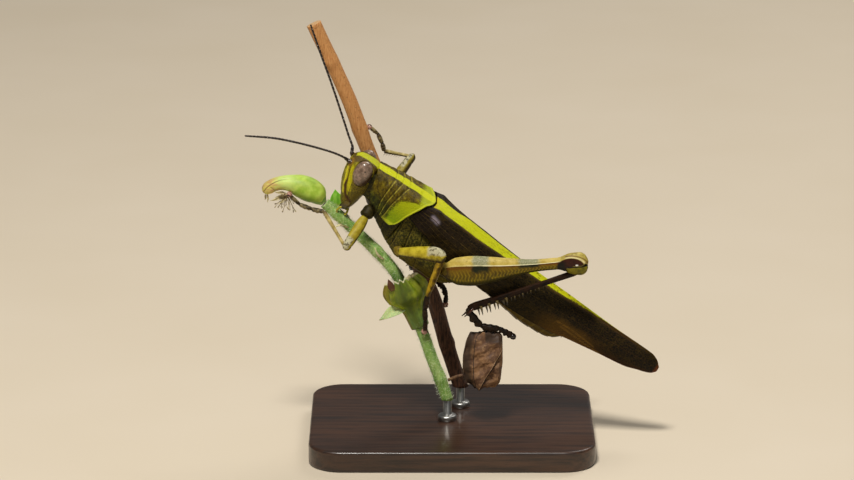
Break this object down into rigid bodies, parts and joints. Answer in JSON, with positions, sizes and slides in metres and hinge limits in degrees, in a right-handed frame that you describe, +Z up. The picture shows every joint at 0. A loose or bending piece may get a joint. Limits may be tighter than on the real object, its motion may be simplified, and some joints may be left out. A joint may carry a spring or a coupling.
{
  "type": "grasshopper",
  "caption": "Life-size still model of a yellow and brown grasshopper clinging head-up to a green stem and a dry stick, held by short rods on a flat display base.",
  "frame": {"origin": "middle of the display base's underside, on the surface it stands on", "axes": "+Z up, the insect's head towards -X and its tail towards +X, its left side towards -Y"},
  "size_m": [0.0863, 0.046, 0.0894],
  "materials": {
    "head_shell": "smooth horny shell, olive yellow with brown stripes",
    "mouth_shell": "smooth horny shell, dull greenish yellow, brown jaws",
    "compound_eye": "glossy, mauve grey and finely mottled",
    "antenna": "dark brown, ringed by its segments",
    "pronotum_shell": "pitted horny shell, yellow green with brown sides and a yellow line",
    "body_shell": "smooth horny shell, dark olive",
    "abdomen_shell": "ringed horny shell, olive brown",
    "forewing": "leathery net-veined wing, dark olive brown with a yellow back",
    "hindwing": "thin folded wing, brown",
    "femur_shell": "ribbed horny shell, yellow with dark bands on the hind pair",
    "shin": "smooth horny shell, yellow brown",
    "hind_shin": "smooth horny shell, dark brown with pale-based spines",
    "foot": "dark horny pads and claws",
    "dry_wood": "dry bark, tan brown",
    "green_stem": "softly hairy green stem",
    "flower_bud": "pale green bud, yellow at its tip",
    "green_leaf": "green leaf with raised veins",
    "withered_leaf": "dry, brown and creased",
    "stand_wood": "dark stained wood under a satin varnish",
    "stand_steel": "bare brushed steel"
  },
  "bodies": {
    "root": {"head": "head_shell", "mouthparts": "mouth_shell", "eye_left": "compound_eye", "eye_right": "compound_eye", "antenna_left": "antenna", "antenna_right": "antenna", "pronotum": "pronotum_shell", "prothorax": "body_shell", "thorax": "body_shell", "abdomen": "abdomen_shell", "tegmen_left": "forewing", "tegmen_right": "forewing", "hindwing_left": "hindwing", "hindwing_right": "hindwing", "coxa_fore_left": "body_shell", "coxa_fore_right": "body_shell", "coxa_mid_left": "body_shell", "coxa_mid_right": "body_shell", "coxa_hind_left": "body_shell", "coxa_hind_right": "body_shell", "femur_fore_left": "femur_shell", "femur_fore_right": "femur_shell", "femur_mid_left": "femur_shell", "femur_mid_right": "femur_shell", "femur_hind_left": "femur_shell", "femur_hind_right": "femur_shell", "tibia_fore_left": "shin", "tibia_fore_right": "shin", "tibia_mid_left": "shin", "tibia_mid_right": "shin", "tibia_hind_left": "hind_shin", "tibia_hind_right": "hind_shin", "tarsus_fore_left": "foot", "tarsus_fore_right": "foot", "tarsus_mid_left": "foot", "tarsus_mid_right": "foot", "tarsus_hind_left": "foot", "tarsus_hind_right": "foot", "perch_stick": "dry_wood", "perch_stem": "green_stem", "perch_bud": "flower_bud", "perch_leaf": "green_leaf", "perch_leaf_small": "green_leaf", "perch_dry_leaf": "withered_leaf", "stand_base": "stand_wood", "stand_rod_stem": "stand_steel", "stand_rod_stick": "stand_steel"}
  },
  "joints": []
}
